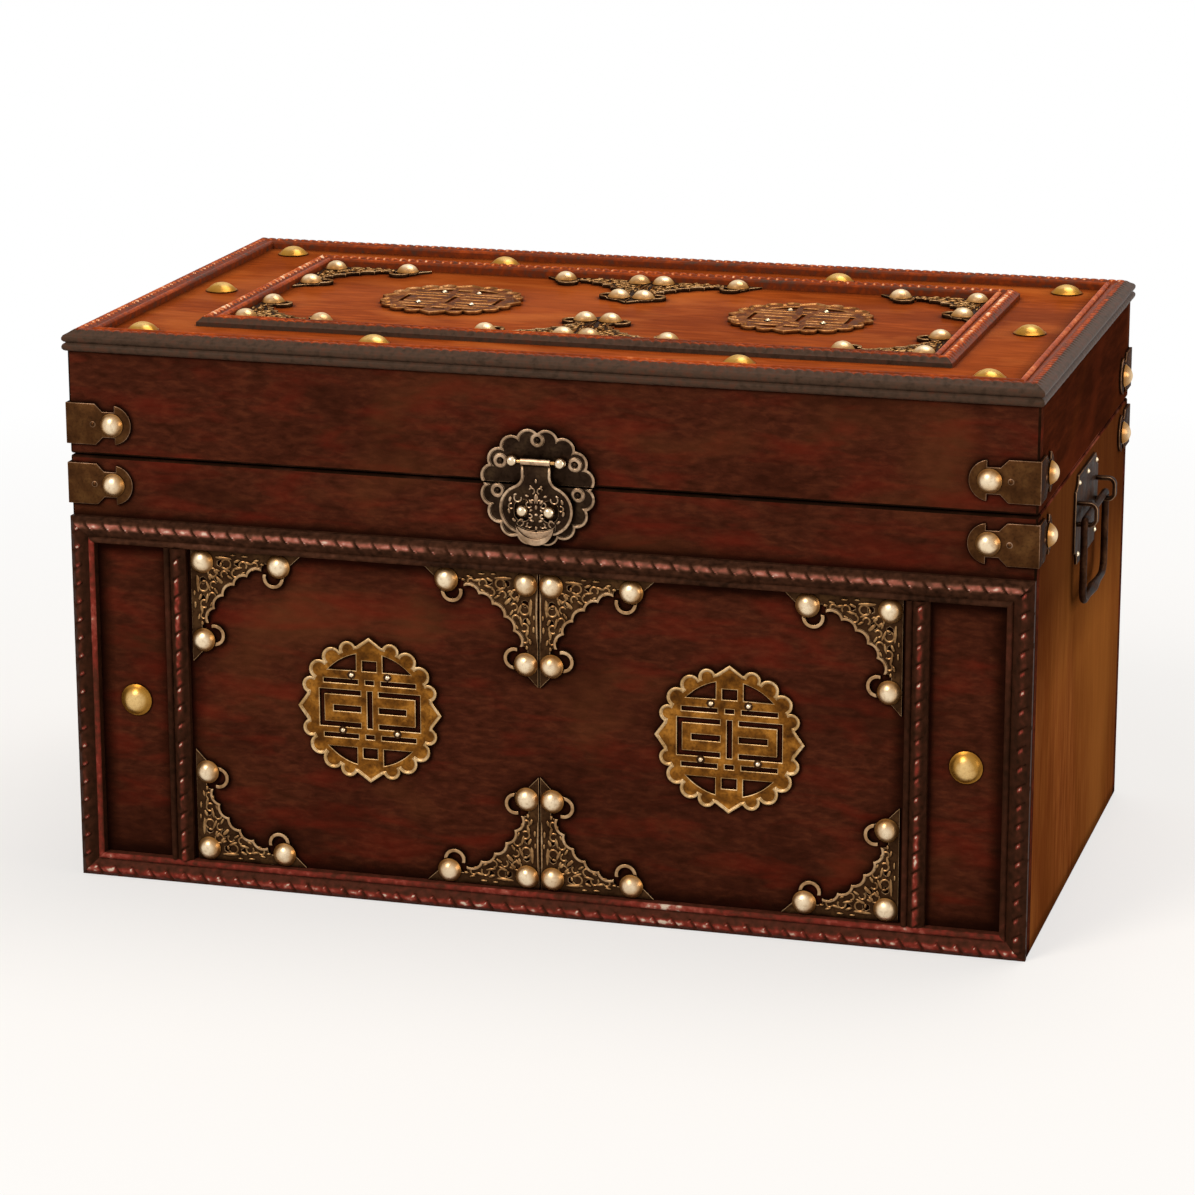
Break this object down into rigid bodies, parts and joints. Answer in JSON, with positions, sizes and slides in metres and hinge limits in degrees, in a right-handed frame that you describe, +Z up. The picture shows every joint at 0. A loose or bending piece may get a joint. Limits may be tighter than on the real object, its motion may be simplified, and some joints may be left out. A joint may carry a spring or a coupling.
{
  "type": "wooden keepsake box",
  "caption": "Lacquered wooden keepsake box with hinged lid, carved mouldings, stamped brass mounts, drop hasp and swinging side handles.",
  "frame": {"origin": "under the middle of the box's boards, on the plane that the box stands on", "axes": "+Z up, +X to the right seen from the front, -Y out of the front with the latch"},
  "size_m": [0.3668, 0.207, 0.2041],
  "materials": {
    "front_lacquer": "dark red-brown lacquer rubbed back to red in places, satin",
    "side_lacquer": "thin brown lacquer, satin",
    "lid_lacquer": "orange-brown lacquer over figured wood, glossy",
    "bare_wood": "bare planed wood",
    "flock": "dark red flocked card",
    "moulding_lacquer": "carved, dark lacquer worn to red on the crests",
    "stamped_brass": "stamped, antiqued, bright on raised edges",
    "gilt_nails": "pale gilt, slightly hammered",
    "bright_pins": "polished",
    "latch_brass": "cast, antiqued, bright on raised edges",
    "polished_balls": "polished",
    "handle_bronze": "dark bronze, rubbed bright on edges",
    "hinge_brass": "antiqued brass"
  },
  "bodies": {
    "base": {"base_front_board": "front_lacquer", "base_back_board": "front_lacquer", "base_left_board": "side_lacquer", "base_right_board": "side_lacquer", "base_bottom_panel": "bare_wood", "base_lining": "flock", "frame_top_rail": "moulding_lacquer", "frame_bottom_rail": "moulding_lacquer", "frame_left_stile": "moulding_lacquer", "frame_right_stile": "moulding_lacquer", "frame_upright_strips": "moulding_lacquer", "front_corner_mounts": "stamped_brass", "front_medallions": "stamped_brass", "base_corner_straps": "stamped_brass", "base_round_nails": "gilt_nails", "front_dome_nails": "gilt_nails", "front_medallion_pins": "bright_pins", "latch_lower_plate": "latch_brass", "latch_studs": "polished_balls", "latch_lower_pins": "bright_pins", "right_handle_plate": "handle_bronze", "right_handle_loops": "handle_bronze", "left_handle_plate": "handle_bronze", "left_handle_loops": "handle_bronze", "handle_pins": "bright_pins", "left_hinge_base_leaf": "hinge_brass", "right_hinge_base_leaf": "hinge_brass", "hinge_pins": "hinge_brass", "hinge_base_screws": "hinge_brass"},
    "lid": {"left_hinge_lid_leaf": "hinge_brass", "right_hinge_lid_leaf": "hinge_brass", "hinge_lid_screws": "hinge_brass", "lid_front_board": "front_lacquer", "lid_back_board": "front_lacquer", "lid_left_board": "side_lacquer", "lid_right_board": "side_lacquer", "lid_top_panel": "lid_lacquer", "lid_lining": "flock", "lid_edge_front": "moulding_lacquer", "lid_edge_back": "moulding_lacquer", "lid_edge_left": "moulding_lacquer", "lid_edge_right": "moulding_lacquer", "lid_frame_front": "moulding_lacquer", "lid_frame_back": "moulding_lacquer", "lid_frame_left": "moulding_lacquer", "lid_frame_right": "moulding_lacquer", "lid_corner_mounts": "stamped_brass", "lid_medallions": "stamped_brass", "lid_corner_straps": "stamped_brass", "lid_round_nails": "gilt_nails", "lid_dome_nails": "gilt_nails", "lid_medallion_pins": "bright_pins", "latch_upper_plate": "latch_brass", "latch_upper_pins": "bright_pins", "hasp_posts": "polished_balls", "hasp_rod": "polished_balls"},
    "hasp": {"hasp": "latch_brass"},
    "right_bail": {"right_bail": "handle_bronze"},
    "left_bail": {"left_bail": "handle_bronze"}
  },
  "joints": [
    {"name": "lid_hinge", "type": "hinge", "parent": "base", "child": "lid", "pos_m": [0, 0.1006, 0.15775], "axis": [-1, 0, 0], "range_deg": [0, 105]},
    {"name": "hasp_hinge", "type": "hinge", "parent": "lid", "child": "hasp", "pos_m": [0, -0.1013, 0.1663], "axis": [-1, 0, 0], "range_deg": [0, 170]},
    {"name": "right_bail_hinge", "type": "hinge", "parent": "base", "child": "right_bail", "pos_m": [0.17905, 0, 0.13855], "axis": [0, -1, 0], "range_deg": [-3, 175]},
    {"name": "left_bail_hinge", "type": "hinge", "parent": "base", "child": "left_bail", "pos_m": [-0.17905, 0, 0.13855], "axis": [0, 1, 0], "range_deg": [-3, 175]}
  ]
}
